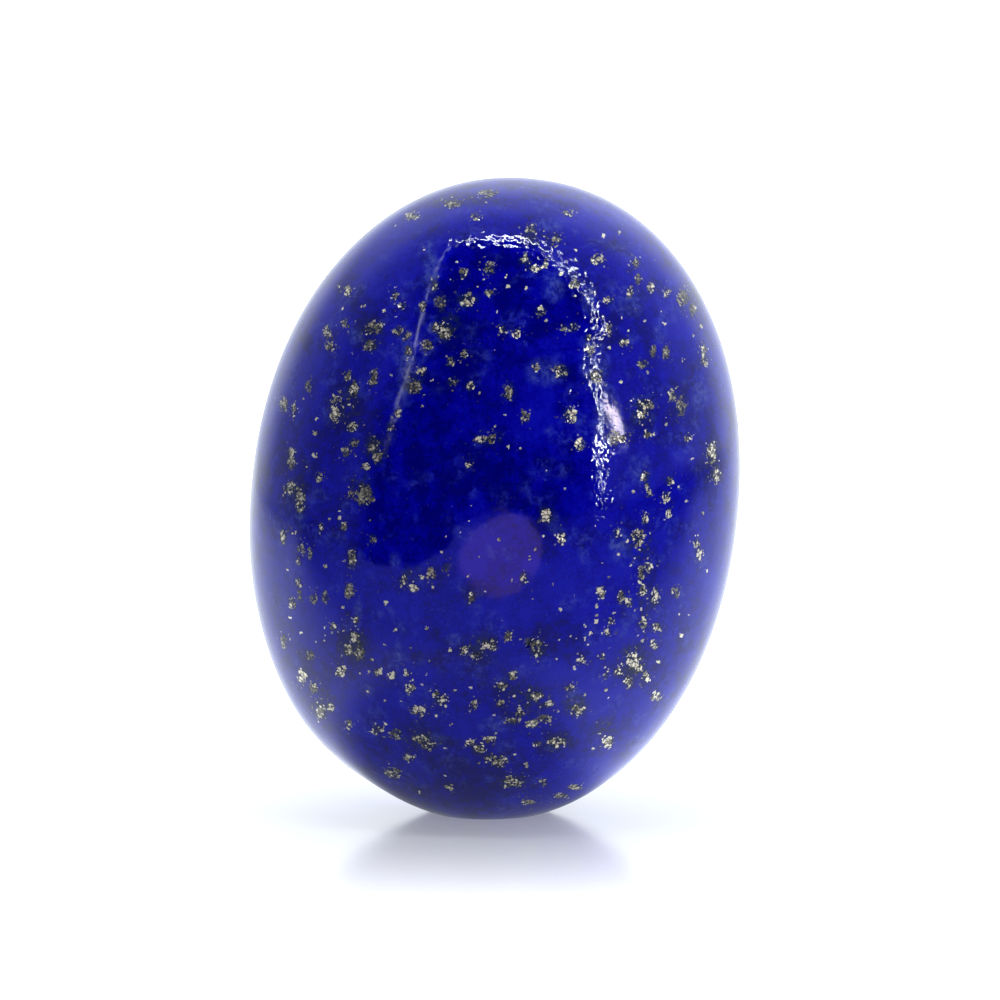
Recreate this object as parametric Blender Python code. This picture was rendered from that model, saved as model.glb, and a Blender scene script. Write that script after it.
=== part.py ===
"""Polished lapis lazuli stone: one oval, tumbled pebble that stands on its narrow end.

The outline seen from the front is a slightly squared oval that leans to the right, and the
stone is domed towards the front and the back. A small flat spot is ground on its lower end,
under its centre of gravity, so that it stands on it.

Metres, +Z up, the front faces -Y. The origin is under the middle of the stone, on the surface
that it stands on.
"""

from math import atan2, cos, hypot, radians

import bmesh
import bpy
from mathutils import Matrix, Vector, noise

# Driving dimensions: half of each axis of the oval, before the flat spot is ground.
LONG_HALF = 0.02025
WIDE_HALF = 0.01522
DEEP_HALF = 0.0115
LEAN = radians(6.8)  # of the long axis, to the right as seen from the front
GROUND_OFF = 0.0005  # how deep the flat spot is cut into the lower end

# The form of the oval. A squareness of 2 is a true ellipsoid, and more fills out its shoulders.
SQUARENESS = 2.1
THREE_CORNERED = -0.0035  # share of the radius by which the outline has three soft corners
UNEVEN = 0.009  # share of the radius by which tumbling left the faces uneven
UNEVEN_WAVES = 1.3  # how many swells there are from the middle of a face to its rim
UNEVEN_PLACE = Vector((3.1, 7.4, 1.7))  # which swells this stone has

SUBDIVISIONS = 5

LAZURITE_BLUE = (0.005, 0.006, 0.27, 1.0)
POLISHED = 0.12


def clear_scene():
    for item in list(bpy.data.objects):
        bpy.data.objects.remove(item, do_unlink=True)


def stone_collection():
    group = bpy.data.collections.new("lapis_lazuli")
    bpy.context.scene.collection.children.link(group)
    return group


def polished_lapis():
    material = bpy.data.materials.new("polished_lapis")
    material.use_nodes = True
    shader = material.node_tree.nodes["Principled BSDF"]
    shader.inputs["Base Color"].default_value = LAZURITE_BLUE
    shader.inputs["Roughness"].default_value = POLISHED
    shader.inputs["Metallic"].default_value = 0.0
    return material


def oval_radius(way):
    """Share of the half axes at which the surface lies in this direction of the stone's axes."""
    filled = sum(abs(part) ** SQUARENESS for part in way) ** (-1 / SQUARENESS)
    in_outline = hypot(way.x, way.z)
    corners = THREE_CORNERED * in_outline**2 * cos(3 * atan2(way.z, way.x))
    swell = noise.noise(way * UNEVEN_WAVES + UNEVEN_PLACE)
    return filled * (1 + corners + UNEVEN * abs(way.y) * swell)


def shape_oval(form):
    """Pulls a unit sphere out to the leaning oval."""
    half_axes = Matrix.Diagonal((WIDE_HALF, DEEP_HALF, LONG_HALF))
    turned = Matrix.Rotation(LEAN, 3, "Y")
    for vertex in form.verts:
        way = vertex.co.normalized()
        vertex.co = turned @ (half_axes @ (way * oval_radius(way)))


def grind_flat(form):
    """Cuts the lower end off level, and closes it with one flat face."""
    lowest = min(vertex.co.z for vertex in form.verts)
    level = Vector((0, 0, lowest + GROUND_OFF))
    everything = form.verts[:] + form.edges[:] + form.faces[:]
    bmesh.ops.bisect_plane(form, geom=everything, plane_co=level, plane_no=(0, 0, -1), clear_outer=True)
    rim = [edge for edge in form.edges if edge.is_boundary]
    bmesh.ops.contextual_create(form, geom=rim)
    bmesh.ops.recalc_face_normals(form, faces=form.faces)


def stand_on_origin(form):
    """Moves the stone so that the middle of its underside is at the origin."""
    low = Vector(min(vertex.co[axis] for vertex in form.verts) for axis in range(3))
    high = Vector(max(vertex.co[axis] for vertex in form.verts) for axis in range(3))
    foot = Vector(((low.x + high.x) / 2, (low.y + high.y) / 2, low.z))
    bmesh.ops.translate(form, verts=form.verts, vec=-foot)


def make_stone(group, material):
    form = bmesh.new()
    bmesh.ops.create_icosphere(form, subdivisions=SUBDIVISIONS, radius=1.0)
    shape_oval(form)
    grind_flat(form)
    stand_on_origin(form)
    mesh = bpy.data.meshes.new("lapis_stone")
    form.to_mesh(mesh)
    form.free()
    mesh.shade_smooth()
    mesh.set_sharp_from_angle(angle=radians(20))
    mesh.materials.append(material)
    stone = bpy.data.objects.new("lapis_stone", mesh)
    group.objects.link(stone)
    return stone


clear_scene()
make_stone(stone_collection(), polished_lapis())
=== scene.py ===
"""Dresses the lapis lazuli stone: its polished surface, its mineral pattern, and a studio stage."""

from math import cos, pi, radians, sin
from random import Random

import bpy
import numpy as np
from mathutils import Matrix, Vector


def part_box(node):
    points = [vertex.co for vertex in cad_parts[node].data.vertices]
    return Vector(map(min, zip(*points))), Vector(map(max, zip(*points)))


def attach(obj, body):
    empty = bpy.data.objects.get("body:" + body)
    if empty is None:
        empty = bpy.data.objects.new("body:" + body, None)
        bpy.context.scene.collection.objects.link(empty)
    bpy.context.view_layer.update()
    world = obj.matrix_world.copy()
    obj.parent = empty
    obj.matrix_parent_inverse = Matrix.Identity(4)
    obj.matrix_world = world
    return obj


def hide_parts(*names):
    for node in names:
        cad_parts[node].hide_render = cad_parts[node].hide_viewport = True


bl_info = {
    "name": "Lapis lazuli stone",
    "version": (1, 0, 0),
    "blender": (4, 5, 0),
    "location": "3D View > Sidebar > Lapis",
    "description": "Makes a polished lapis lazuli stone with its pyrite and calcite, on a pale studio stage",
    "category": "Add Mesh",
}

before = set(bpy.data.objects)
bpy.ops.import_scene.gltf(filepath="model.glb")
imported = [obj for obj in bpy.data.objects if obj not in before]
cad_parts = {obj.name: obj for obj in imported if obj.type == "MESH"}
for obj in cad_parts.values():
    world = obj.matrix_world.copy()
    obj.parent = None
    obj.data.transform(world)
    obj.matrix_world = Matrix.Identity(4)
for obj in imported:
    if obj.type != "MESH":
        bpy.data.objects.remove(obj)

STONE_NODE = "lapis_stone"

MM = 0.001

# The picture's frame. The stone's origin axis crosses the picture at STONE_MIDDLE.
PICTURE_SIDE = 1000
PIXELS_PER_MM = 16
STONE_MIDDLE = (494.5, 496.5)
MIDDLE_HEIGHT = 0.020

# The lit floor's front edge, from left to right in metres. The dark room shows past it.
FLOOR_FRONT = (
    (-1.5, -0.068), (-0.047, -0.068), (-0.032, -0.077), (-0.027, -0.100), (-0.031, -0.200), (-0.001, -0.260),
    (0.025, -0.196), (0.036, -0.157), (0.056, -0.141), (0.095, -0.150), (0.150, -0.110), (1.5, -0.110),
)

FILL_PLACE = (0.06, -0.42, 0.20)

# How wide the swells of the stone's faces are: waves from the middle of a face to its rim.
SWELL_WAVES = 1.3

# Which part of the outline is shaved, in degrees round the stone's own axes.
SHAVED_MIDDLE = -111
SHAVED_HALF = 26

# A spot of mineral is whole inside its edge less half its fade, and ends at its reach, in shares of its radius.
SPOT_REACH = 1.35
SPOT_FADE = 0.7
SPECK_REACH = 8

# How far round a clump of pyrite its finer dust reaches, in metres.
HALO = 0.00045

# How far the places of one seam of pyrite on the unseen sides stray along it and across it.
SEAM_LENGTH = 0.0030
SEAM_WIDTH = 0.0010

# Where pyrite shows on the front, in pixels of the picture: across, down, width, height.
# Clumps are packed with grains, and specks are one grain or two. The specks from (602, 563) down to (588, 645) are
# painted glints of the opening's lower right edge, drawn as pyrite.
CLUMPS_ABOVE_LEFT = (
    (453, 204, 13, 5), (412, 216, 12, 6), (489, 193, 20, 4), (476, 217, 10, 4), (464, 274, 8, 8),
    (489, 269, 10, 10), (435, 285, 7, 9), (490, 293, 10, 5), (467, 300, 12, 12), (441, 302, 10, 12),
    (395, 296, 5, 9), (422, 306, 6, 9), (402, 306, 6, 6), (348, 291, 6, 11), (327, 332, 7, 12),
    (344, 323, 8, 6), (330, 346, 8, 7), (371, 327, 9, 11), (379, 327, 6, 10), (370, 346, 11, 11),
    (398, 332, 9, 9), (406, 336, 7, 7), (436, 328, 11, 9), (445, 333, 11, 14), (427, 345, 9, 10),
    (409, 351, 7, 9), (348, 376, 6, 10), (373, 382, 8, 7), (374, 373, 6, 6), (354, 389, 8, 14),
    (337, 399, 6, 6), (335, 412, 8, 20), (308, 386, 5, 10), (284, 405, 7, 15), (294, 410, 4, 10),
    (422, 371, 9, 7), (414, 387, 13, 12), (453, 382, 10, 7), (470, 386, 8, 9), (451, 361, 6, 9),
    (464, 354, 6, 8), (398, 413, 6, 7), (390, 427, 6, 9), (353, 427, 9, 9),
)
CLUMPS_ABOVE_RIGHT = (
    (531, 230, 10, 8), (556, 240, 8, 8), (525, 260, 10, 8), (534, 268, 13, 8), (541, 311, 9, 8),
    (568, 214, 11, 4), (598, 260, 12, 8), (575, 284, 9, 9), (609, 300, 10, 6), (630, 292, 6, 10),
    (636, 263, 5, 9), (638, 279, 5, 9), (651, 287, 6, 10), (667, 293, 4, 9), (682, 298, 8, 14),
    (693, 309, 5, 9), (704, 350, 5, 9), (704, 361, 7, 9), (573, 327, 9, 9), (564, 328, 6, 6),
    (609, 329, 6, 11), (624, 342, 9, 6), (517, 333, 6, 9), (503, 330, 6, 7), (653, 351, 5, 11),
    (666, 352, 6, 13), (643, 364, 10, 7), (561, 371, 13, 12), (536, 367, 6, 7), (596, 376, 12, 12),
    (508, 393, 8, 13), (672, 396, 8, 11), (681, 407, 9, 18), (646, 405, 13, 9), (641, 415, 10, 8),
    (570, 415, 13, 14), (525, 417, 8, 10), (590, 350, 8, 9), (588, 338, 6, 6), (546, 262, 6, 6),
)
CLUMPS_MIDDLE_LEFT = (
    (346, 452, 8, 10), (354, 443, 10, 9), (373, 445, 10, 14), (378, 456, 8, 9), (366, 467, 6, 6),
    (291, 458, 6, 18), (319, 478, 5, 9), (290, 488, 9, 12), (300, 501, 6, 22), (364, 495, 14, 18),
    (351, 495, 6, 7), (344, 526, 7, 9), (321, 527, 5, 9), (283, 536, 5, 14), (301, 548, 4, 10),
    (310, 553, 5, 10), (373, 539, 6, 8), (298, 561, 4, 9), (352, 558, 7, 17), (298, 583, 4, 10),
    (349, 591, 8, 14), (300, 596, 4, 10), (314, 599, 5, 9), (325, 597, 5, 11), (292, 603, 5, 11),
    (356, 620, 5, 9), (334, 626, 5, 7), (284, 641, 4, 14), (355, 637, 8, 10), (348, 650, 8, 11),
    (359, 652, 9, 14), (310, 655, 8, 7), (403, 582, 6, 8), (414, 588, 9, 7), (431, 574, 9, 10),
    (446, 567, 7, 8), (472, 597, 6, 10), (480, 440, 11, 8), (492, 438, 6, 9), (469, 465, 4, 8),
)
CLUMPS_MIDDLE_RIGHT = (
    (580, 444, 10, 11), (614, 438, 10, 14), (623, 439, 6, 6), (647, 434, 7, 8), (689, 437, 4, 10),
    (712, 453, 8, 20), (717, 475, 5, 14), (645, 476, 8, 9), (647, 486, 4, 8), (649, 493, 5, 8),
    (670, 481, 7, 7), (666, 497, 7, 10), (669, 513, 4, 10), (645, 519, 6, 10), (546, 515, 8, 12),
    (562, 538, 8, 12), (617, 533, 5, 9), (638, 536, 12, 11), (639, 542, 7, 6), (699, 553, 5, 16),
    (696, 543, 4, 8), (648, 567, 7, 9), (641, 574, 6, 14), (524, 578, 8, 12), (601, 592, 8, 12),
    (621, 597, 7, 12), (628, 603, 9, 7), (656, 596, 6, 16), (643, 590, 6, 9), (676, 592, 5, 11),
    (611, 621, 6, 7), (608, 632, 5, 8), (644, 623, 6, 9), (657, 627, 9, 8), (508, 636, 8, 9),
    (537, 644, 10, 9), (538, 653, 6, 8), (493, 645, 8, 12), (485, 645, 7, 8), (653, 644, 5, 8),
)
CLUMPS_BELOW = (
    (477, 655, 10, 7), (464, 650, 6, 7), (603, 656, 5, 6), (582, 660, 7, 7), (633, 660, 12, 12),
    (637, 668, 12, 10), (618, 672, 8, 8), (628, 682, 9, 10), (513, 675, 9, 8), (302, 676, 8, 13),
    (341, 671, 10, 11), (378, 672, 7, 7), (393, 675, 7, 6), (407, 673, 6, 6), (314, 688, 6, 10),
    (321, 713, 9, 12), (331, 708, 5, 10), (349, 724, 5, 9), (410, 688, 9, 9), (441, 700, 13, 9),
    (436, 695, 6, 7), (416, 710, 10, 7), (422, 711, 6, 8), (474, 705, 6, 8), (378, 729, 11, 8),
    (396, 734, 12, 8), (421, 739, 16, 7), (427, 746, 9, 8), (409, 757, 12, 6), (393, 773, 14, 8),
    (470, 743, 9, 6), (479, 749, 12, 9), (489, 757, 10, 6), (489, 739, 12, 5), (496, 762, 9, 6),
    (503, 686, 9, 9), (501, 703, 6, 7), (537, 696, 10, 6), (549, 704, 8, 6), (520, 713, 6, 9),
    (513, 721, 12, 6), (532, 724, 12, 8), (545, 719, 13, 7), (570, 688, 8, 7), (578, 710, 12, 9),
    (537, 744, 7, 6), (556, 742, 14, 9), (500, 761, 15, 8), (608, 742, 10, 10), (656, 696, 9, 9),
    (646, 676, 7, 8), (606, 675, 4, 8), (512, 782, 18, 8), (575, 787, 12, 4), (561, 796, 13, 4),
    (528, 802, 13, 4), (449, 787, 8, 4), (543, 781, 8, 5),
)
SPECKS_AND_GLINTS = (
    (395, 226), (424, 248), (457, 262), (483, 279), (451, 279), (478, 286), (395, 287), (384, 311),
    (396, 316), (363, 306), (343, 309), (339, 286), (496, 265), (497, 311), (443, 322), (408, 359),
    (352, 354), (391, 375), (341, 392), (349, 405), (304, 399), (317, 419), (424, 396), (432, 381),
    (460, 361), (479, 393), (422, 407), (448, 404), (364, 425), (495, 350), (496, 426), (507, 276),
    (508, 286), (526, 288), (546, 321), (603, 236), (619, 233), (576, 251), (575, 261), (561, 275),
    (575, 296), (636, 308), (655, 260), (661, 311), (645, 321), (664, 324), (701, 326), (693, 336),
    (622, 318), (629, 331), (609, 348), (683, 360), (623, 354), (648, 373), (570, 392), (621, 382),
    (652, 392), (677, 387), (632, 400), (505, 415), (666, 417), (667, 424), (315, 433), (356, 456),
    (315, 455), (306, 467), (373, 500), (339, 511), (340, 518), (329, 519), (294, 533), (370, 520),
    (325, 566), (288, 570), (343, 607), (290, 618), (325, 628), (325, 635), (344, 631), (324, 641),
    (301, 633), (315, 642), (360, 674), (369, 672), (388, 675), (427, 675), (411, 648), (385, 645),
    (427, 628), (386, 603), (422, 577), (433, 587), (441, 552), (446, 536), (461, 533), (469, 521),
    (480, 557), (468, 576), (485, 592), (452, 507), (471, 505), (508, 447), (521, 448), (546, 471),
    (654, 434), (693, 459), (633, 492), (680, 488), (687, 501), (565, 490), (543, 536), (535, 549),
    (530, 558), (499, 539), (595, 526), (627, 541), (707, 571), (702, 513), (619, 554), (635, 558),
    (630, 565), (512, 581), (553, 584), (533, 599), (575, 595), (608, 577), (597, 616), (614, 613),
    (644, 631), (689, 615), (678, 614), (585, 626), (585, 639), (577, 638), (638, 636), (610, 647),
    (557, 659), (659, 662), (681, 636), (368, 691), (413, 680), (422, 684), (446, 706), (436, 716),
    (451, 725), (470, 688), (494, 715), (386, 724), (445, 749), (480, 763), (420, 792), (445, 775),
    (514, 696), (585, 694), (558, 695), (558, 711), (515, 754), (526, 765), (593, 749), (600, 734),
    (608, 698), (505, 787), (502, 620), (602, 563), (609, 577), (600, 590), (604, 596), (597, 606), (596, 622),
    (591, 633), (588, 645), (640, 583), (641, 609), (643, 618), (642, 640), (590, 662), (574, 668),
    (560, 640), (571, 636), (605, 668), (606, 690), (648, 680), (528, 690), (410, 648), (395, 630),
    (450, 650), (430, 660), (372, 660), (402, 702), (385, 700), (455, 690), (520, 640), (560, 610),
)

# Where dark green-grey rock and pale calcite show on the front, in the same pixels.
DARK_ROCK = (
    (413, 574, 22, 16), (477, 645, 26, 18), (448, 325, 26, 34), (415, 384, 22, 20), (576, 705, 26, 22),
    (538, 650, 18, 24), (350, 410, 20, 40), (362, 488, 22, 30), (355, 645, 26, 28), (640, 410, 22, 28),
    (690, 300, 20, 40), (712, 465, 16, 48), (530, 700, 44, 30), (632, 660, 26, 34), (425, 740, 50, 16),
    (512, 782, 40, 14), (300, 495, 14, 40), (540, 240, 44, 16), (455, 200, 70, 14), (640, 545, 26, 30),
    (605, 730, 20, 24), (648, 600, 20, 30), (320, 700, 24, 36), (560, 742, 30, 14), (468, 300, 22, 20),
    (372, 335, 24, 30), (508, 393, 14, 20), (546, 515, 16, 18), (375, 450, 24, 28), (490, 437, 26, 16),
)
PALE_CALCITE = (
    (545, 372, 34, 26), (552, 288, 20, 26), (628, 302, 30, 26), (607, 415, 24, 44), (595, 365, 26, 44),
    (590, 300, 14, 30), (300, 520, 8, 22), (430, 740, 30, 12), (575, 700, 18, 22), (495, 725, 30, 14),
    (430, 272, 14, 50), (405, 360, 16, 60), (355, 335, 14, 20), (640, 745, 20, 16), (660, 330, 12, 26),
    (455, 640, 16, 12), (395, 560, 10, 14), (620, 545, 20, 30), (367, 690, 14, 12),
    (358, 612, 8, 24), (398, 655, 8, 30), (640, 470, 20, 30), (550, 225, 30, 12), (700, 395, 14, 30),
)
# A pit in the polish, in the same pixels. It is dented, and painted near black as painted shade in its hollow.
PIT_PLACE = (528, 643, 3, 6)

# Where the blue is lighter and where it is deeper on the front, in the same pixels. This is partly the stone's own tone
# and partly painted light and painted shade: deeper over the middle, which faces the tent's dark opening, and along the
# foot, and lighter where more light falls.
BRIGHT_BLUE_AND_LIGHT = (
    (385, 250, 100, 80), (330, 312, 50, 60), (316, 372, 34, 56), (440, 266, 16, 34), (600, 222, 100, 30),
    (556, 346, 66, 30), (676, 334, 40, 40), (612, 300, 30, 30), (545, 416, 52, 76),
    (640, 456, 110, 34), (580, 510, 46, 50), (482, 546, 56, 56), (596, 575, 120, 84),
    (680, 530, 50, 76), (500, 612, 70, 30), (452, 622, 56, 34), (612, 640, 60, 30),
    (600, 684, 50, 50), (548, 672, 60, 30), (325, 574, 80, 44), (272, 578, 36, 40), (372, 692, 70, 40),
    (464, 704, 30, 60), (655, 730, 60, 60), (590, 772, 60, 30), (320, 630, 30, 60), (480, 215, 80, 24),
    (265, 430, 30, 60), (635, 480, 60, 40), (400, 620, 60, 30), (465, 715, 60, 50),
    (340, 700, 60, 50), (430, 635, 70, 40), (430, 680, 60, 30), (300, 600, 40, 40),
)
DEEP_BLUE_AND_SHADE = (
    (470, 300, 90, 76), (450, 352, 64, 84), (424, 382, 52, 50), (372, 330, 50, 40), (376, 470, 36, 90),
    (345, 404, 40, 60), (440, 470, 70, 70), (438, 530, 44, 56), (424, 580, 54, 34), (571, 290, 30, 60),
    (516, 310, 44, 64), (530, 268, 34, 34), (566, 398, 30, 70), (640, 410, 40, 60), (611, 420, 18, 60),
    (679, 400, 30, 40), (713, 460, 30, 64), (631, 533, 40, 34), (645, 576, 24, 60), (486, 650, 54, 28),
    (540, 642, 54, 26), (355, 645, 44, 44), (410, 742, 80, 40), (495, 752, 44, 50), (516, 702, 56, 40),
    (621, 731, 44, 50), (638, 665, 50, 44), (556, 743, 40, 26), (300, 480, 40, 60), (450, 782, 170, 46),
    (480, 592, 44, 34), (546, 520, 40, 60), (600, 380, 20, 40), (500, 470, 50, 50), (350, 290, 30, 40),
    (506, 318, 110, 110), (562, 456, 60, 44), (735, 440, 20, 90),
)

# Where polishing left small dents, so that lamps sparkle in them.
DENTED = (
    (498, 243, 120, 26), (552, 258, 60, 40), (582, 288, 44, 50), (596, 330, 36, 50), (592, 368, 30, 50),
    (600, 395, 20, 30), (601, 462, 30, 50), (607, 505, 30, 40),
)

# The round patch of the floor that shows as a violet disc, in degrees seen from the stone's middle.
DISC_MIDDLE = (2.1, 11.0)
DISC_HALVES = (13.5, 6.9)
DISC_EYE = 0.0165

# The stone's own shadow on the floor, in metres.
SHADOW_MIDDLE = (-0.004, -0.011)
SHADOW_HALVES = (0.014, 0.016)

# The tent's light is a little cold.
TENT_COLOUR = (0.96, 1.03, 1.08)

# The mirrored floor lies this little under the one that the camera sees.
UNDER_FLOOR = -0.0003


class Signal:
    """One socket of a node tree, on which sums and products are written as they are said."""

    def __init__(self, socket):
        self.socket = socket

    def __add__(self, other):
        return calculated(self, "ADD", self, other)

    __radd__ = __add__

    def __sub__(self, other):
        return calculated(self, "SUBTRACT", self, other)

    def __rsub__(self, other):
        return calculated(self, "SUBTRACT", other, self)

    def __mul__(self, other):
        return calculated(self, "MULTIPLY", self, other)

    __rmul__ = __mul__

    def __truediv__(self, other):
        return calculated(self, "DIVIDE", self, other)

    def __rtruediv__(self, other):
        return calculated(self, "DIVIDE", other, self)

    def __pow__(self, other):
        return calculated(self, "POWER", self, other)

    def __abs__(self):
        return calculated(self, "ABSOLUTE", self)

    def at_least(self, other):
        return calculated(self, "MAXIMUM", self, other)

    def at_most(self, other):
        return calculated(self, "MINIMUM", self, other)

    def output(self, name):
        """Another output of the same node."""
        return Signal(next(s for s in self.socket.node.outputs if s.name == name and s.enabled))

    def rising(self, start, end):
        """Rises softly from 0 at start to 1 at end, or falls if end is the smaller."""
        settings = {"interpolation_type": "SMOOTHSTEP"}
        return add_node(self, "ShaderNodeMapRange", settings, {"Value": self, "From Min": start, "From Max": end})

    def band(self, middle, half_width):
        """1 at the middle, falling softly to 0 half a width to either side."""
        return (1 - abs(self - middle) / half_width).rising(0, 1)

    def vector(self, operation, *others):
        """A vector operation on this vector."""
        sockets = dict(enumerate((self, *others)))
        return add_node(self, "ShaderNodeVectorMath", {"operation": operation}, sockets)

    def scaled(self, factor):
        return add_node(self, "ShaderNodeVectorMath", {"operation": "SCALE"}, {0: self, "Scale": factor})

    def parts(self):
        """The three numbers of this vector."""
        split = add_node(self, "ShaderNodeSeparateXYZ", {}, {0: self})
        return [split.output(name) for name in "XYZ"]


def calculated(where, operation, *values):
    return add_node(where, "ShaderNodeMath", {"operation": operation}, dict(enumerate(values)))


def node_input(node, name):
    """The input with this place, identifier or name."""
    if isinstance(name, int):
        return node.inputs[name]
    for socket in node.inputs:
        if socket.identifier == name:
            return socket
    return node.inputs[name]


def set_stops(color_ramp, stops):
    """Sets a colour ramp's stops, given as pairs of place and colour."""
    while len(color_ramp.elements) > 1:
        color_ramp.elements.remove(color_ramp.elements[-1])
    for number, (place, colour) in enumerate(stops):
        element = color_ramp.elements.new(place) if number else color_ramp.elements[0]
        element.position = place
        element.color = colour


def add_node(where, kind, settings=None, sockets=None):
    """Adds a node, sets it, feeds its sockets, and returns its first output."""
    tree = where.socket.id_data if isinstance(where, Signal) else where
    node = tree.nodes.new(kind)
    for name, value in (settings or {}).items():
        if name == "stops":
            set_stops(node.color_ramp, value)
        else:
            setattr(node, name, value)
    for name, value in (sockets or {}).items():
        socket = node_input(node, name)
        if isinstance(value, Signal):
            tree.links.new(value.socket, socket)
        else:
            socket.default_value = value
    return next((Signal(socket) for socket in node.outputs if socket.enabled), None)


def mixed(below, above, share):
    """The colour below, with a share of the colour above over it."""
    sockets = {"Factor_Float": share, "A_Color": below, "B_Color": above}
    return add_node(share, "ShaderNodeMix", {"data_type": "RGBA"}, sockets)


def solid(colour):
    return (*colour, 1.0)


class StoneShape(bpy.types.PropertyGroup):
    """Sizes of the stone, before its flat spot is ground."""

    long_half: bpy.props.FloatProperty(
        name="Long half", description="Half of the oval's long axis", default=0.02025, unit="LENGTH"
    )
    wide_half: bpy.props.FloatProperty(
        name="Wide half", description="Half of the oval's width", default=0.01522, unit="LENGTH"
    )
    deep_half: bpy.props.FloatProperty(
        name="Deep half", description="Half of the stone's depth", default=0.0115, unit="LENGTH"
    )
    lean: bpy.props.FloatProperty(
        name="Lean", description="How far the long axis leans to the right", default=radians(6.8), subtype="ANGLE"
    )
    squareness: bpy.props.FloatProperty(
        name="Squareness", description="2 is a true ellipsoid; more fills its shoulders", default=2.1
    )
    three_cornered: bpy.props.FloatProperty(
        name="Three-cornered", description="Share of the radius that makes three soft corners", default=-0.0035
    )
    uneven: bpy.props.FloatProperty(
        name="Uneven", description="Share of the radius by which the faces swell", default=0.009
    )
    ground_off: bpy.props.FloatProperty(
        name="Ground off", description="Depth of the flat spot at the lower end", default=0.0005, unit="LENGTH"
    )
    rim_round: bpy.props.FloatProperty(
        name="Rim round", description="Roundness of the flat spot's rim", default=0.00012, unit="LENGTH"
    )
    shaved: bpy.props.FloatProperty(
        name="Shaved", description="Share of the radius that is missing at the lower left", default=0.017
    )
    facets: bpy.props.IntProperty(
        name="Facets", description="Faces along the front of the cube that is pulled round", default=168, min=8, max=168
    )
    facets_deep: bpy.props.IntProperty(
        name="Facets deep", description="Faces from the cube's front to its back", default=64, min=8, max=64
    )


class StonePattern(bpy.types.PropertyGroup):
    """Colours of the minerals, and how the stone is polished."""

    lazurite: bpy.props.FloatVectorProperty(
        name="Lazurite", description="The main blue", default=(0.0008, 0.0009, 0.41), size=3, subtype="COLOR"
    )
    deep_lazurite: bpy.props.FloatVectorProperty(
        name="Deep lazurite", description="The darkest blue", default=(0.0004, 0.0005, 0.20), size=3, subtype="COLOR"
    )
    bright_lazurite: bpy.props.FloatVectorProperty(
        name="Bright lazurite", description="The lightest blue", default=(0.003, 0.005, 0.53), size=3, subtype="COLOR"
    )
    calcite: bpy.props.FloatVectorProperty(
        name="Calcite", description="Blue clouded with calcite", default=(0.07, 0.11, 0.46), size=3, subtype="COLOR"
    )
    dark_rock: bpy.props.FloatVectorProperty(
        name="Dark rock", description="Green-grey rock round the pyrite", default=(0.010, 0.019, 0.065), size=3,
        subtype="COLOR",
    )
    # Painted glints: the bright end of each pyrite grain's brightness, for grains that mirror a lamp.
    pyrite: bpy.props.FloatVectorProperty(
        name="Pyrite", description="Bright grains of pyrite", default=(1.0, 0.93, 0.76), size=3, subtype="COLOR"
    )
    # Painted shade: the dark end of each pyrite grain's brightness, for grains that catch no lamp.
    unlit_pyrite: bpy.props.FloatVectorProperty(
        name="Dull pyrite", description="Grains that lie just under the polish", default=(0.10, 0.095, 0.08), size=3,
        subtype="COLOR",
    )
    polish: bpy.props.FloatProperty(
        name="Polish", description="Roughness of the polished blue", default=0.06, min=0.0, max=1.0
    )
    seed: bpy.props.IntProperty(
        name="Seed", description="Which places the pyrite takes on the sides and the back", default=11
    )


class StageSetup(bpy.types.PropertyGroup):
    """Sizes of the stage, its light, and its camera."""

    eye_height: bpy.props.FloatProperty(
        name="Eye height", description="How far the camera looks down", default=radians(7.0), subtype="ANGLE"
    )
    eye_distance: bpy.props.FloatProperty(
        name="Eye distance", description="From the camera to the stone", default=0.26, unit="LENGTH"
    )
    floor_reach: bpy.props.FloatProperty(
        name="Floor reach", description="How far the floor reaches to the sides and back", default=1.5, unit="LENGTH"
    )
    floor_tone: bpy.props.FloatVectorProperty(
        name="Floor", description="Colour of the floor", default=(0.62, 0.62, 0.64), size=3, subtype="COLOR"
    )
    tent_light: bpy.props.FloatProperty(name="Tent light", description="Strength of the white tent", default=1.0)
    fill_light: bpy.props.FloatProperty(name="Fill light", description="Watts of the lamp in front", default=0.25)


# The camera, and the picture that it takes


def eye_and_aim(stage):
    """Where the camera stands, and the point that it looks at."""
    across, down = STONE_MIDDLE
    half = PICTURE_SIDE / 2
    pixel = MM / PIXELS_PER_MM
    back = Vector((0, -cos(stage.eye_height), sin(stage.eye_height)))
    up = Vector((0, sin(stage.eye_height), cos(stage.eye_height)))
    aim = Vector(((half - across) * pixel, 0, MIDDLE_HEIGHT)) + up * (down - half) * pixel
    return aim + back * stage.eye_distance, aim


def make_camera(stage):
    eye, aim = eye_and_aim(stage)
    lens = bpy.data.cameras.new("eye")
    lens.lens = lens.sensor_width * stage.eye_distance / (PICTURE_SIDE / PIXELS_PER_MM * MM)
    lens.clip_start = 0.01
    lens.clip_end = 20.0
    camera = bpy.data.objects.new("eye", lens)
    camera.location = eye
    camera.rotation_euler = (aim - eye).to_track_quat("-Z", "Y").to_euler()
    bpy.context.scene.collection.objects.link(camera)
    bpy.context.scene.camera = camera


def pixels_of(points, stage):
    """Where the picture shows each of an array of points: across and down."""
    eye, aim = eye_and_aim(stage)
    forward = (aim - eye).normalized()
    right = Vector((1, 0, 0))
    up = right.cross(forward)
    rays = points - np.array(eye)
    scale = stage.eye_distance / MM * PIXELS_PER_MM / (rays @ np.array(forward))
    across = PICTURE_SIDE / 2 + rays @ np.array(right) * scale
    down = PICTURE_SIDE / 2 - rays @ np.array(up) * scale
    return across, down


# The stone's shape


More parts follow.
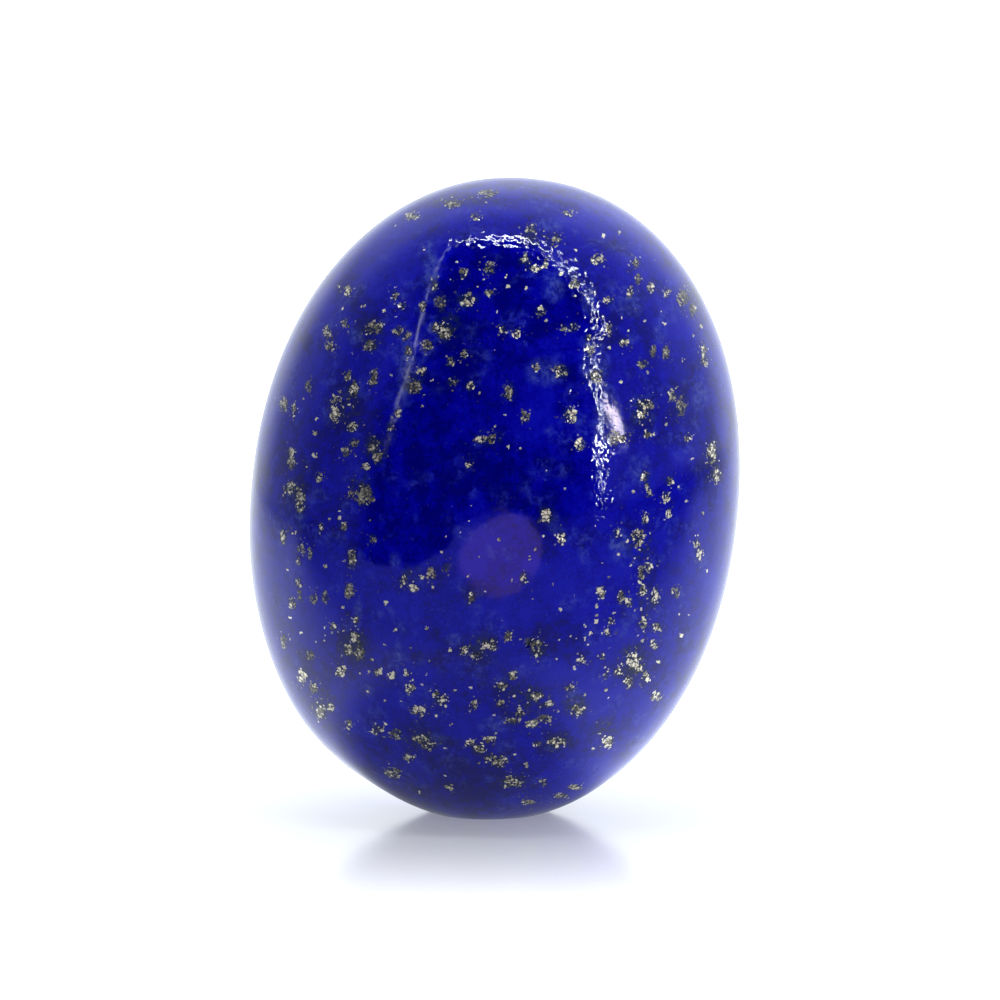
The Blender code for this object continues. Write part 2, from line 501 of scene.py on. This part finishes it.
def oval_points(tree, given):
    """Where each point of a cube with sides of 2 lies on the leaning oval."""
    cube_point = add_node(tree, "GeometryNodeInputPosition")
    way = cube_point.scaled(pi / 4).vector("TANGENT").vector("NORMALIZE")
    x, y, z = way.parts()
    squareness = given.output("Squareness")
    total = abs(x) ** squareness + abs(y) ** squareness + abs(z) ** squareness
    filled = total ** (-1 / squareness)
    turn = calculated(tree, "ARCTAN2", z, x)
    corners = (x * x + z * z) * calculated(tree, "COSINE", turn * 3) * given.output("Three-cornered")
    swell = add_node(
        tree, "ShaderNodeTexNoise", {"normalize": False}, {"Vector": way, "Scale": SWELL_WAVES, "Detail": 0.0}
    )
    flank = turn.band(radians(SHAVED_MIDDLE), radians(SHAVED_HALF)) * (x * x + z * z)
    radius = filled * (corners + abs(y) * swell * given.output("Uneven") - flank * given.output("Shaved") + 1)
    halves = [given.output(name) for name in ("Wide half", "Deep half", "Long half")]
    half_axes = add_node(tree, "ShaderNodeCombineXYZ", {}, dict(enumerate(halves)))
    upright = way.scaled(radius).vector("MULTIPLY", half_axes)
    turned = {"Vector": upright, "Angle": given.output("Lean")}
    return add_node(tree, "ShaderNodeVectorRotate", {"rotation_type": "Y_AXIS"}, turned)


def ground_points(tree, given, oval):
    """The oval's points, with those under the flat spot's level raised to it."""
    x, y, z = add_node(tree, "GeometryNodeInputPosition").parts()
    heights = {"data_type": "FLOAT", "domain": "POINT"}
    lowest = add_node(tree, "GeometryNodeAttributeStatistic", heights, {"Geometry": oval, "Attribute": z}).output("Min")
    level = lowest + given.output("Ground off")
    raised = calculated(tree, "SMOOTH_MAX", z, level, given.output("Rim round"))
    return add_node(tree, "ShaderNodeCombineXYZ", {}, {0: x, 1: y, 2: raised})


def foot_offset(tree, stone):
    """The way from the middle of the stone's underside to the origin."""
    box = add_node(tree, "GeometryNodeBoundBox", {}, {"Geometry": stone})
    low = box.output("Min")
    middle = low.vector("ADD", box.output("Max")).scaled(-0.5)
    middle_x, middle_y, middle_z = middle.parts()
    low_x, low_y, low_z = low.parts()
    return add_node(tree, "ShaderNodeCombineXYZ", {}, {0: middle_x, 1: middle_y, 2: low_z * -1})


def oval_stone_tree(sizes):
    """Geometry nodes that pull a cube round to the oval, grind its flat spot and stand it on the origin."""
    tree = bpy.data.node_groups.new("oval_stone", "GeometryNodeTree")
    tree.interface.new_socket("Stone", in_out="OUTPUT", socket_type="NodeSocketGeometry")
    for label, value in sizes.items():
        kind = "NodeSocketInt" if isinstance(value, int) else "NodeSocketFloat"
        tree.interface.new_socket(label, in_out="INPUT", socket_type=kind)
    tree.interface.new_socket("Finish", in_out="INPUT", socket_type="NodeSocketMaterial")
    given = add_node(tree, "NodeGroupInput")
    corners = given.output("Facets") + 1
    counts = {"Vertices X": corners, "Vertices Y": given.output("Facets deep") + 1, "Vertices Z": corners}
    cube = add_node(tree, "GeometryNodeMeshCube", {}, {"Size": (2, 2, 2), **counts})
    oval = add_node(tree, "GeometryNodeSetPosition", {}, {"Geometry": cube, "Position": oval_points(tree, given)})
    ground = {"Geometry": oval, "Position": ground_points(tree, given, oval)}
    stone = add_node(tree, "GeometryNodeSetPosition", {}, ground)
    standing = {"Geometry": stone, "Offset": foot_offset(tree, stone)}
    stone = add_node(tree, "GeometryNodeSetPosition", {}, standing)
    stone = add_node(tree, "GeometryNodeSetShadeSmooth", {}, {"Geometry": stone})
    stone = add_node(tree, "GeometryNodeRealizeInstances", {}, {"Geometry": stone})
    stone = add_node(tree, "GeometryNodeSetMaterial", {}, {"Geometry": stone, "Material": given.output("Finish")})
    add_node(tree, "NodeGroupOutput", {}, {"Stone": stone})
    return tree


def set_inputs(modifier, values):
    """Sets a modifier's inputs by their labels, through their identifiers."""
    for item in modifier.node_group.interface.items_tree:
        if item.item_type == "SOCKET" and item.in_out == "INPUT":
            modifier[item.identifier] = values[item.name]


def grow_stone(shape, finish):
    """The stone's plain mesh, as its geometry nodes make it."""
    sizes = {
        "Long half": shape.long_half,
        "Wide half": shape.wide_half,
        "Deep half": shape.deep_half,
        "Lean": shape.lean,
        "Squareness": shape.squareness,
        "Three-cornered": shape.three_cornered,
        "Uneven": shape.uneven,
        "Ground off": shape.ground_off,
        "Rim round": shape.rim_round,
        "Shaved": shape.shaved,
        "Facets": shape.facets,
        "Facets deep": shape.facets_deep,
    }
    seedling = bpy.data.objects.new("seedling", bpy.data.meshes.new("seedling"))
    bpy.context.scene.collection.objects.link(seedling)
    modifier = seedling.modifiers.new("oval_stone", "NODES")
    modifier.node_group = oval_stone_tree(sizes)
    set_inputs(modifier, {**sizes, "Finish": finish})
    seedling.update_tag()
    grown = seedling.evaluated_get(bpy.context.evaluated_depsgraph_get())
    mesh = bpy.data.meshes.new_from_object(grown)
    seedling.modifiers.remove(modifier)
    bpy.data.objects.remove(seedling, do_unlink=True)
    if len(mesh.vertices) == 0:
        raise RuntimeError("the oval stone's geometry nodes made no mesh")
    return mesh


def points_of(mesh):
    points = np.empty(len(mesh.vertices) * 3)
    mesh.vertices.foreach_get("co", points)
    return points.reshape(-1, 3)


def normals_of(mesh):
    normals = np.empty(len(mesh.vertices) * 3)
    mesh.vertices.foreach_get("normal", normals)
    return normals.reshape(-1, 3)


def fit_to_frame(mesh):
    """Stretches the mesh to the exact box of the frame's stone."""
    low, high = (np.array(corner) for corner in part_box(STONE_NODE))
    points = points_of(mesh)
    own_low, own_high = points.min(axis=0), points.max(axis=0)
    points = low + (points - own_low) * (high - low) / (own_high - own_low)
    mesh.vertices.foreach_set("co", points.ravel())
    mesh.update()


# Where the minerals lie


def soft_spots(spots, across, down, least=0.0):
    """1 inside any of the spots, given in pixels of the picture, falling softly to 0 outside."""
    share = np.zeros(len(across))
    for x, y, width, height in spots:
        reach = np.hypot((across - x) / (width / 2 + least), (down - y) / (height / 2 + least))
        share = np.maximum(share, np.clip((SPOT_REACH - reach) / SPOT_FADE, 0, 1))
    return share


def speck_cones(places, across, down, seen):
    """1 at the point nearest to each place in the picture, falling evenly to 0 round it."""
    share = np.zeros(len(across))
    for x, y in places:
        away = np.hypot(across - x, down - y) + (seen < 0.5) * PICTURE_SIDE
        share = np.maximum(share, 1 - (away - away.min()) / SPECK_REACH)
    return np.clip(share, 0, 1)


def scattered_specks(points, allowed, lots, number):
    """Like speck_cones, for points drawn by lot from the part of the stone that is allowed."""
    share = np.zeros(len(points))
    homes = np.flatnonzero(allowed)
    for _ in range(number):
        home = points[homes[lots.randrange(len(homes))]]
        away = np.sqrt(((points - home) ** 2).sum(axis=1))
        share = np.maximum(share, 1 - away / (SPECK_REACH / PIXELS_PER_MM * MM))
    return share * allowed


def scattered_spots(points, allowed, lots, seams, per_seam, sizes):
    """Like soft_spots, for places drawn by lot along seams through the part of the stone that is allowed."""
    share = np.zeros(len(points))
    homes = np.flatnonzero(allowed)
    for _ in range(seams):
        seam = points[homes[lots.randrange(len(homes))]]
        along = np.array([lots.gauss(0, 1) for _ in range(3)])
        along /= np.linalg.norm(along)
        for _ in range(per_seam):
            strayed = seam + along * lots.gauss(0, SEAM_LENGTH) + [lots.gauss(0, SEAM_WIDTH) for _ in range(3)]
            home = points[np.argmin(((points - strayed) ** 2).sum(axis=1))]
            size = lots.uniform(*sizes)
            way = points - home
            length = way @ along
            aside = np.sqrt(np.maximum((way**2).sum(axis=1) - length**2, 0))
            reach = np.hypot(length / (size * lots.uniform(1.0, 1.9)), aside / size)
            share = np.maximum(share, np.clip((SPOT_REACH - reach) / SPOT_FADE, 0, 1))
    return share * allowed


def mark_minerals(mesh, pattern, stage):
    """Stores on each point how much pyrite, dark rock and calcite lie round it."""
    points = points_of(mesh)
    across, down = pixels_of(points, stage)
    eye, _ = eye_and_aim(stage)
    looks = np.array(eye) - points
    looks /= np.linalg.norm(looks, axis=1)[:, None]
    facing = (normals_of(mesh) * looks).sum(axis=1)
    seen = np.clip((facing - 0.06) / 0.12, 0, 1)
    unseen = 1 - seen
    lots = Random(pattern.seed)
    same_lots = Random(pattern.seed)
    sizes = (0.00014, 0.00036)
    halo_sizes = [size + HALO for size in sizes]
    clumps = CLUMPS_ABOVE_LEFT + CLUMPS_ABOVE_RIGHT + CLUMPS_MIDDLE_LEFT + CLUMPS_MIDDLE_RIGHT + CLUMPS_BELOW
    front = {
        "pyrite": soft_spots(clumps, across, down, 0.5),
        "dark_rock": soft_spots(DARK_ROCK, across, down),
        "calcite": soft_spots(PALE_CALCITE, across, down),
        "pit": soft_spots((PIT_PLACE,), across, down, 1.0),
        "dented": soft_spots(DENTED, across, down),
        "blue_tone_and_shade": soft_spots(BRIGHT_BLUE_AND_LIGHT, across, down) - soft_spots(DEEP_BLUE_AND_SHADE, across, down),
        "speck_and_glint": speck_cones(SPECKS_AND_GLINTS, across, down, seen),
        "halo": soft_spots(clumps, across, down, HALO * PIXELS_PER_MM / MM),
        # Painted light: the lower and right clumps of pyrite are painted brighter.
        "painted_pyrite_light": soft_spots(CLUMPS_BELOW + CLUMPS_MIDDLE_RIGHT, across, down, 3.0),
    }
    marks = {name: share * seen for name, share in front.items()}
    away = np.where(unseen > 0.5, 1.0, 0.0)
    hidden = {
        "pyrite": scattered_spots(points, away, lots, 40, 14, sizes),
        "halo": scattered_spots(points, away, same_lots, 40, 14, halo_sizes),
        "dented": away * 0.7,
        "painted_pyrite_light": away * 0.5,
        "dark_rock": scattered_spots(points, away, lots, 10, 5, (0.0006, 0.0012)),
        "calcite": scattered_spots(points, away, lots, 8, 4, (0.0006, 0.0013)),
        "speck_and_glint": scattered_specks(points, away, lots, 260),
    }
    for name, share in hidden.items():
        marks[name] = np.maximum(marks[name], share)
    for name, values in marks.items():
        layer = mesh.attributes.new(name, "FLOAT", "POINT")
        layer.data.foreach_set("value", values.astype(np.float32))


# The stone's surface


def stored(tree, name):
    return add_node(tree, "ShaderNodeAttribute", {"attribute_name": name}).output("Fac")


def cloud(place, per_mm, detail=2.0, roughness=0.5):
    """Soft noise with features of about one millimetre over per_mm."""
    sockets = {"Vector": place, "Scale": per_mm, "Detail": detail, "Roughness": roughness}
    return add_node(place, "ShaderNodeTexNoise", {}, sockets)


def grains(place, per_mm, share):
    """Angular grains that fill a share of the rock: how much is grain, its brightness, and its facet's height."""
    sockets = {"Vector": place, "Scale": per_mm}
    cell = add_node(place, "ShaderNodeTexVoronoi", {"feature": "F1"}, sockets)
    border = add_node(place, "ShaderNodeTexVoronoi", {"feature": "DISTANCE_TO_EDGE"}, sockets)
    lot, tone, _ = cell.output("Color").parts()
    body = (share - lot).rising(0.0, 0.10) * border.rising(0.02, 0.12)
    from_middle = place.vector("SUBTRACT", cell.output("Position"))
    slant = cell.output("Color").vector("SUBTRACT", (0.5, 0.5, 0.5))
    facet = from_middle.vector("DOT_PRODUCT", slant).output("Value")
    return body, tone, facet


def lapis_finish(pattern):
    material = bpy.data.materials.new("polished_lapis_stone")
    material.use_nodes = True
    tree = material.node_tree
    place = add_node(tree, "ShaderNodeTexCoord").output("Object").scaled(1 / MM)
    drift = cloud(place, 2.2).output("Color").vector("SUBTRACT", (0.5, 0.5, 0.5)).scaled(0.35)
    strayed = place.vector("ADD", drift)
    pyrite_near = stored(tree, "pyrite")
    rock_near = stored(tree, "dark_rock")

    # Blue, from large clouds to a fine salt of crystals
    # The large blue tone carries painted light and painted shade from the front's lighter and deeper zones.
    large = cloud(place, 0.24, 1.0, 0.65) * 0.34 + stored(tree, "blue_tone_and_shade") * 0.075
    tone = large + cloud(strayed, 1.0, 4.0, 0.68) * 0.64 + cloud(strayed, 6.5, 0.0) * 0.26 - 0.115
    blue = mixed(solid(pattern.deep_lazurite), solid(pattern.lazurite), tone.rising(0.37, 0.53))
    blue = mixed(blue, solid(pattern.bright_lazurite), tone.rising(0.50, 0.66) * 0.9)

    # Pale calcite, dark rock, and painted shade round and between the pyrite grains
    wisps = cloud(strayed, 2.0, 3.0, 0.72).rising(0.38, 0.74)
    faint = cloud(strayed, 0.6, 1.0, 0.6).rising(0.50, 0.70)
    pale = (stored(tree, "calcite") * (wisps * 0.80 + 0.12) + faint * wisps * 0.5).at_most(1) * 0.75
    blue = mixed(blue, solid(pattern.calcite), pale)
    murk = cloud(strayed, 3.0, 2.0).rising(0.35, 0.65)
    # The dark rock colour covers the dark rock patches, and every pyrite clump as painted shade in the crevices round
    # and between its grains.
    rock_and_crevice_shade = (rock_near * murk * 0.75 + pyrite_near * 0.8).at_most(0.92)
    blue = mixed(blue, solid(pattern.dark_rock), rock_and_crevice_shade)

    # Pyrite: angular grains with gaps between them, finer ones, single specks, and dust
    crumbled = (cloud(place, 3.6, 1.0, 0.7) - 0.5) * 1.7
    share = (pyrite_near * 0.85 + crumbled - 0.06) * pyrite_near.rising(0.02, 0.25)
    coarse, coarse_tone, coarse_facet = grains(strayed, 4.0, share)
    fine, fine_tone, fine_facet = grains(strayed, 6.2, share * 0.55 + rock_near * 0.05)
    dust_share = stored(tree, "halo") * 0.06 + rock_near * 0.05 + 0.03
    dust, dust_tone, _ = grains(place, 8.0, dust_share)
    # Specks include painted glints along the opening's lower right edge.
    speck_and_glint = (stored(tree, "speck_and_glint") + (cloud(place, 5.0, 1.0) - 0.5) * 0.5).rising(0.88, 0.94)
    metal = coarse.at_least(fine).at_least(dust).at_least(speck_and_glint)
    # Each grain's brightness mixes random tone with painted light: painted glints at the bright end and painted shade
    # at the dark end.
    glow = (coarse_tone * coarse).at_least(fine_tone * fine).at_least(dust_tone * dust)
    glow = glow.at_least(speck_and_glint * cloud(place, 3.0, 0.0).rising(0.15, 0.45))
    # Painted light: pyrite in the lower and right clumps, and on the unseen sides, is painted brighter; large soft
    # patches vary it too.
    glow = glow * (cloud(place, 0.6, 0.0).rising(0.35, 0.65) * 0.5 + stored(tree, "painted_pyrite_light") * 0.4 + 0.5)
    glow = glow + (cloud(place, 6.0, 1.0, 0.6) - 0.5) * 0.9
    gold = mixed(solid(pattern.unlit_pyrite), solid(pattern.pyrite), glow.rising(0.1, 0.9))
    colour = mixed(blue, gold, metal)
    # Painted shade: the pit is painted near black, as well as dented in the relief.
    pit = stored(tree, "pit")
    colour = mixed(colour, (0.0, 0.0, 0.01, 1.0), pit)

    # Relief left by polishing, in millimetres
    dented = stored(tree, "dented")
    dents = cloud(place, 3.0, 0.0) * (dented * 0.022 + 0.0022) + cloud(place, 0.8, 0.0) * 0.008
    grain_relief = (coarse_facet * coarse + fine_facet * fine) * 0.40 + metal * 0.004
    rough_rock = cloud(place, 6.0, 1.0, 0.6) * (pyrite_near * 0.016 + rock_near * 0.003 + pale * 0.006)
    height = dents + grain_relief + rough_rock - pit * 0.15
    bump = add_node(tree, "ShaderNodeBump", {}, {"Height": height, "Distance": MM, "Strength": 1.0})

    shader = tree.nodes["Principled BSDF"]
    links = tree.links
    links.new(colour.socket, shader.inputs["Base Color"])
    links.new((metal * 0.5).socket, shader.inputs["Metallic"])
    roughness = metal * 0.24 + pale * 0.05 + pattern.polish
    links.new(roughness.socket, shader.inputs["Roughness"])
    links.new(bump.socket, shader.inputs["Normal"])
    return material


def place_piece(name, mesh):
    piece = bpy.data.objects.new(name, mesh)
    bpy.context.scene.collection.objects.link(piece)
    return piece


class LAPIS_OT_stone(bpy.types.Operator):
    """Makes the stone: its oval, its minerals and its polish"""

    bl_idname = "lapis.stone"
    bl_label = "Lapis stone"

    def execute(self, context):
        scene = context.scene
        mesh = grow_stone(scene.stone_shape, lapis_finish(scene.stone_pattern))
        mesh.name = "lapis_pebble"
        fit_to_frame(mesh)
        mark_minerals(mesh, scene.stone_pattern, scene.stage_setup)
        stone = place_piece("lapis_pebble", mesh)
        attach(stone, "root")
        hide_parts(STONE_NODE)
        return {"FINISHED"}


# The stage


def floor_sheet(name, corners, level, material):
    """A level sheet inside these corners."""
    mesh = bpy.data.meshes.new(name)
    mesh.from_pydata([(x, y, level) for x, y in corners], [], [range(len(corners))])
    mesh.materials.append(material)
    sheet = place_piece(name, mesh)
    return sheet


def plain_material(name, colour, roughness, specular, glow):
    material = bpy.data.materials.new(name)
    material.use_nodes = True
    shader = material.node_tree.nodes["Principled BSDF"]
    shader.inputs["Base Color"].default_value = solid(colour)
    shader.inputs["Roughness"].default_value = roughness
    shader.inputs["Specular IOR Level"].default_value = specular
    shader.inputs["Emission Color"].default_value = solid(colour)
    shader.inputs["Emission Strength"].default_value = glow
    return material


def make_floor(stage):
    """The floor that the stone mirrors, and over it the glossy white one that the camera sees."""
    reach = stage.floor_reach
    pale = plain_material("pale_floor", (0.0, 0.0, 0.0), 1.0, 0.0, 1.0)
    light_floor(pale)
    mirrored = floor_sheet("mirrored_floor", ((reach, reach), (-reach, reach), *FLOOR_FRONT), UNDER_FLOOR, pale)
    mirrored.visible_camera = False
    white = plain_material("white_floor", stage.floor_tone, 0.16, 0.5, 1.0)
    brighten_away(white)
    square = ((reach, reach), (-reach, reach), (-reach, -reach), (reach, -reach))
    seen = floor_sheet("seen_floor", square, 0.0, white)
    seen.visible_diffuse = False
    seen.visible_glossy = False
    seen.visible_shadow = False


def brighten_away(material):
    """Lets the floor glow, a painted light that outshines the stone's mirror image away from the stone's foot and fades
    at the foot, which paints shade round it.
    """
    tree = material.node_tree
    x, y, _ = add_node(tree, "ShaderNodeTexCoord").output("Object").parts()
    # Painted light and painted shade: the glow rises with distance from the stone's foot.
    light = ((x * x * 0.4 + y * y) ** 0.5).rising(0.004, 0.052) * 1.15 + 0.22
    glow = add_node(tree, "ShaderNodeCombineColor", {}, {0: light, 1: light, 2: light * 1.04})
    tree.links.new(glow.socket, tree.nodes["Principled BSDF"].inputs["Emission Color"])


def wall_light(x, y):
    """How bright the tent's wall is in the direction x, y, where it meets the floor."""
    turned = y + x * 0.1
    wall = turned.rising(-0.45, 0.35) * 0.45 + turned.rising(0.3, 0.75) * 0.8 + 0.17
    return wall * (x * 0.15 + 1)


def light_floor(material):
    """Lights the mirrored floor: bright beside and behind the stone, dim in front but for a violet round patch."""
    tree = material.node_tree
    x, y, _ = add_node(tree, "ShaderNodeTexCoord").output("Object").parts()
    degrees = 180 / pi
    distance = (x * x + y * y) ** 0.5
    off_x = (x - SHADOW_MIDDLE[0]) / SHADOW_HALVES[0]
    off_y = (y - SHADOW_MIDDLE[1]) / SHADOW_HALVES[1]
    out_of_shadow = (off_x * off_x + off_y * off_y).rising(0.3, 1.3) * distance.rising(0.005, 0.011)
    lost = ((x - y).rising(-0.02, 0.24) * 0.85).at_least((x + y * 0.5).rising(0.0, -0.30) * 0.78)
    near = (y.rising(-0.032, 0.006) * out_of_shadow * 1.3 + 0.3) * (1 - lost)
    far = distance.rising(0.15, 0.6)
    light = near * (1 - far) + wall_light(x / distance, y / distance) * far
    side = calculated(tree, "ARCTAN2", x, y * -1) * degrees
    fall = calculated(tree, "ARCTAN2", DISC_EYE, y * -1) * degrees
    off_side = (side - DISC_MIDDLE[0]) / DISC_HALVES[0]
    off_fall = (fall - DISC_MIDDLE[1]) / DISC_HALVES[1]
    disc = (1 - off_side * off_side - off_fall * off_fall).rising(0.0, 0.25)
    pale = [light * share for share in TENT_COLOUR]
    white = add_node(tree, "ShaderNodeCombineColor", {}, dict(enumerate(pale)))
    glow = mixed(white, (0.76, 0.52, 1.0, 1.0), disc)
    tree.links.new(glow.socket, tree.nodes["Principled BSDF"].inputs["Emission Color"])


def make_tent(stage):
    """The white tent round the stone, its open front, and the lamps on the opening's edge."""
    world = bpy.data.worlds.new("light_tent")
    world.use_nodes = True
    tree = world.node_tree
    background = tree.nodes["Background"]
    direction = add_node(tree, "ShaderNodeTexCoord").output("Generated")
    x, y, z = direction.parts()
    degrees = 180 / pi
    side = calculated(tree, "ARCTAN2", x, y * -1) * degrees
    height = calculated(tree, "ARCSINE", z) * degrees
    left_edge = -37 - (height - 25).at_least(0) ** 2 * 0.015 - (25 - height).at_least(0) * 0.14
    right_edge = 35 + height.rising(27, 36) * 10 - height.rising(52, 74) * 14
    top_edge = 78 - (side + 13) ** 2 * 0.0025
    from_left = side - left_edge
    from_right = right_edge - side
    from_top = top_edge - height
    opening = from_left.rising(-16, 1) * from_right.rising(-10, 1) * from_top.rising(-5, 1)
    turned = y + x * 0.1
    upper_left = z.rising(0.3, 0.6) * x.rising(0.0, -0.4)
    backdrop = turned.rising(0.3, 0.75) * (1 - upper_left * 0.6) * 0.8
    wall = turned.rising(-0.45, 0.35) * 0.45 + backdrop + 0.17
    ceiling = z.rising(0.35, 0.9) * turned.rising(-0.05, 0.35) * 0.6
    tent = (wall + ceiling) * (x * 0.15 + 1)
    broken = add_node(tree, "ShaderNodeTexNoise", {}, {"Vector": direction, "Scale": 24.0, "Detail": 0.0})
    broken = broken.rising(0.44, 0.50) * 1.5
    top_lamp = broken * from_top.band(0, 0.6) * from_left.rising(-3, 0) * from_right.rising(-3, 0) * 90
    right_lamp = broken * from_right.band(0, 0.6) * height.rising(-8, -2) * from_top.rising(-2, 2) * 100
    left_lamp = from_left.band(0, 1.3) * height.rising(4, 26) * from_top.rising(-2, 2) * 5
    glare = (side + height * 0.58).band(47.5, 3.2) * height.band(10, 8)
    light = tent * (1 - opening) + top_lamp + right_lamp + left_lamp + glare * 34
    direct = add_node(tree, "ShaderNodeLightPath").output("Is Camera Ray")
    strength = light * stage.tent_light * (1 - direct) + direct * 1.2
    tree.links.new(strength.socket, background.inputs["Strength"])
    colour = mixed(solid(TENT_COLOUR), (1.0, 0.80, 0.90, 1.0), glare.at_most(1))
    tree.links.new(colour.socket, background.inputs["Color"])
    bpy.context.scene.world = world


def make_fill_lamp(stage):
    """A large soft lamp in front, which lights the stone's colour but isn't mirrored in its polish."""
    lamp = bpy.data.lights.new("fill_lamp", "AREA")
    lamp.size = 0.25
    lamp.energy = stage.fill_light
    fill = bpy.data.objects.new("fill_lamp", lamp)
    fill.location = FILL_PLACE
    fill.rotation_euler = (Vector((0, 0, MIDDLE_HEIGHT)) - fill.location).to_track_quat("-Z", "Y").to_euler()
    fill.visible_glossy = False
    fill.visible_camera = False
    bpy.context.scene.collection.objects.link(fill)


class LAPIS_OT_stage(bpy.types.Operator):
    """Sets up the pale floor, the light tent and the camera"""

    bl_idname = "lapis.stage"
    bl_label = "Stage"

    def execute(self, context):
        stage = context.scene.stage_setup
        make_camera(stage)
        make_floor(stage)
        make_tent(stage)
        make_fill_lamp(stage)
        context.scene.view_settings.view_transform = "Standard"
        return {"FINISHED"}


class LAPIS_PT_maker(bpy.types.Panel):
    """Lists the stage and the stone"""

    bl_idname = "LAPIS_PT_maker"
    bl_label = "Lapis lazuli stone"
    bl_space_type = "VIEW_3D"
    bl_region_type = "UI"
    bl_category = "Lapis"

    def draw(self, context):
        column = self.layout.column()
        column.operator(LAPIS_OT_stage.bl_idname)
        column.operator(LAPIS_OT_stone.bl_idname)
        for group in (context.scene.stone_shape, context.scene.stone_pattern, context.scene.stage_setup):
            for name in group.bl_rna.properties.keys():
                if name not in ("rna_type", "name"):
                    column.prop(group, name)


CLASSES = (StoneShape, StonePattern, StageSetup, LAPIS_OT_stage, LAPIS_OT_stone, LAPIS_PT_maker)


def register():
    for item in CLASSES:
        bpy.utils.register_class(item)
    bpy.types.Scene.stone_shape = bpy.props.PointerProperty(type=StoneShape)
    bpy.types.Scene.stone_pattern = bpy.props.PointerProperty(type=StonePattern)
    bpy.types.Scene.stage_setup = bpy.props.PointerProperty(type=StageSetup)


def unregister():
    del bpy.types.Scene.stage_setup
    del bpy.types.Scene.stone_pattern
    del bpy.types.Scene.stone_shape
    for item in reversed(CLASSES):
        bpy.utils.unregister_class(item)


def main():
    register()
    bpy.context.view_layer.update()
    bpy.ops.lapis.stage()
    bpy.ops.lapis.stone()


if __name__ == "__main__":
    main()
